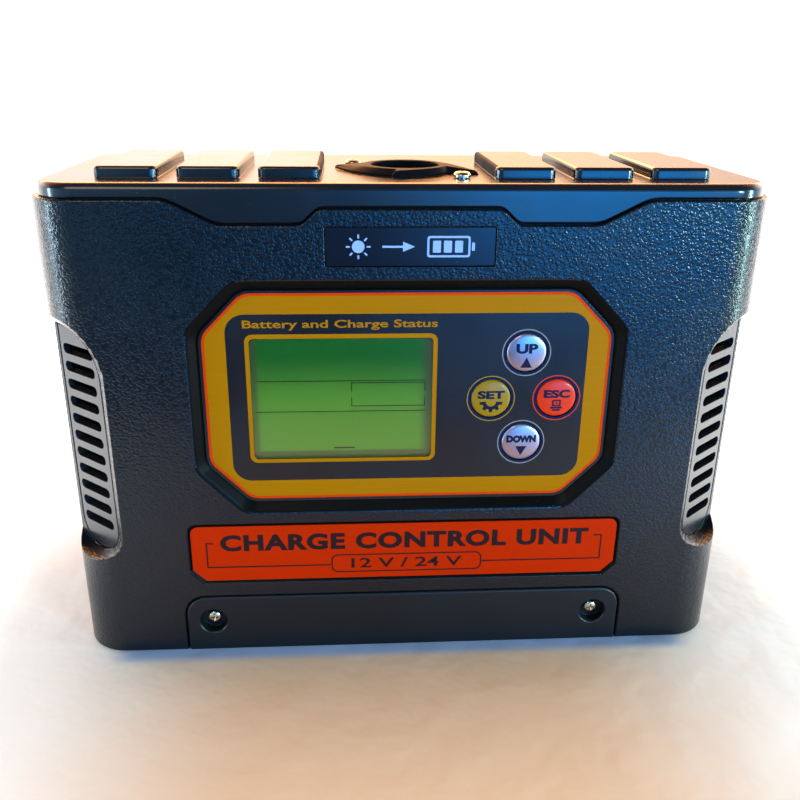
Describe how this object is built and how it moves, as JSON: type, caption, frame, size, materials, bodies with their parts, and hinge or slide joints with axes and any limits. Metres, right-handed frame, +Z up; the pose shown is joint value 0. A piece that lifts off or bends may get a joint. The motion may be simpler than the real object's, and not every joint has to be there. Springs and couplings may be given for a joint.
{
  "type": "solar charge controller",
  "caption": "Wall-mounting charge controller: upright case with vents, top fan outlet, display panel with push keys and a screwed terminal cover.",
  "frame": {"origin": "middle of the footprint at the height of the bottom edge", "axes": "+Z up, the display faces -Y, +X to the viewer's right"},
  "size_m": [0.252, 0.096, 0.1841],
  "materials": {
    "case_black": "pebble-grained dark plastic",
    "cap_black": "satin smooth dark plastic",
    "vent_black": "satin smooth dark plastic",
    "badge_black": "gloss",
    "label_orange": "satin printed film",
    "overlay_yellow": "satin printed film",
    "window_clear": "clear",
    "lcd_green": "backlit display",
    "key_silver": "satin silver film",
    "key_yellow": "satin film",
    "key_orange": "satin film",
    "screw_steel": "plated",
    "clamp_zinc": "zinc plated",
    "plate_aluminium": "brushed",
    "board_green": "solder mask",
    "block_black": "moulded nylon",
    "capacitor_sleeve": "shrink sleeve",
    "inductor_copper": "enamelled copper winding",
    "cable_grey": "flat cable",
    "pillar_brass": "turned",
    "fuse_orange": "moulded"
  },
  "bodies": {
    "case": {"front_cover": "case_black", "top_cap": "cap_black", "terminal_cover": "cap_black", "bottom_plate": "case_black", "rear_plate": "plate_aluminium", "vent_grille_left": "vent_black", "vent_grille_right": "vent_black", "badge_plate": "badge_black", "name_label": "label_orange", "display_overlay": "overlay_yellow", "display_window": "window_clear", "lcd_module": "lcd_green", "display_board": "board_green", "main_board": "board_green", "terminal_block": "block_black", "fan_frame": "block_black", "heatsink": "plate_aluminium", "transistor_left": "block_black", "transistor_right": "block_black", "inductor": "inductor_copper", "capacitor_left": "capacitor_sleeve", "capacitor_right": "capacitor_sleeve", "fuse": "fuse_orange", "ribbon_cable": "cable_grey", "switch_up": "block_black", "switch_down": "block_black", "switch_set": "block_black", "switch_esc": "block_black", "cover_screw_left": "screw_steel", "cover_screw_right": "screw_steel", "fan_screw_left": "screw_steel", "fan_screw_right": "screw_steel", "clamp_screw_1": "clamp_zinc", "clamp_screw_2": "clamp_zinc", "clamp_screw_3": "clamp_zinc", "clamp_screw_4": "clamp_zinc", "clamp_screw_5": "clamp_zinc", "clamp_screw_6": "clamp_zinc", "rear_screw_low_left": "screw_steel", "pillar_low_left": "pillar_brass", "board_screw_low_left": "screw_steel", "rear_screw_low_right": "screw_steel", "pillar_low_right": "pillar_brass", "board_screw_low_right": "screw_steel", "rear_screw_high_left": "screw_steel", "pillar_high_left": "pillar_brass", "board_screw_high_left": "screw_steel", "rear_screw_high_right": "screw_steel", "pillar_high_right": "pillar_brass", "board_screw_high_right": "screw_steel"},
    "rotor": {"fan_rotor": "block_black"},
    "up_key": {"key_up": "key_silver"},
    "down_key": {"key_down": "key_silver"},
    "set_key": {"key_set": "key_yellow"},
    "esc_key": {"key_esc": "key_orange"}
  },
  "joints": [
    {"name": "fan_spin", "type": "hinge", "parent": "case", "child": "rotor", "pos_m": [0, -0.013, 0.172], "axis": [0, 0, 1], "continuous": true},
    {"name": "up_press", "type": "slide", "parent": "case", "child": "up_key", "axis": [0, 1, 0], "range_m": [0, 0.0004], "stiffness_N_per_m": 900, "springref_m": -0.0004},
    {"name": "down_press", "type": "slide", "parent": "case", "child": "down_key", "axis": [0, 1, 0], "range_m": [0, 0.0004], "stiffness_N_per_m": 900, "springref_m": -0.0004},
    {"name": "set_press", "type": "slide", "parent": "case", "child": "set_key", "axis": [0, 1, 0], "range_m": [0, 0.0004], "stiffness_N_per_m": 900, "springref_m": -0.0004},
    {"name": "esc_press", "type": "slide", "parent": "case", "child": "esc_key", "axis": [0, 1, 0], "range_m": [0, 0.0004], "stiffness_N_per_m": 900, "springref_m": -0.0004}
  ]
}
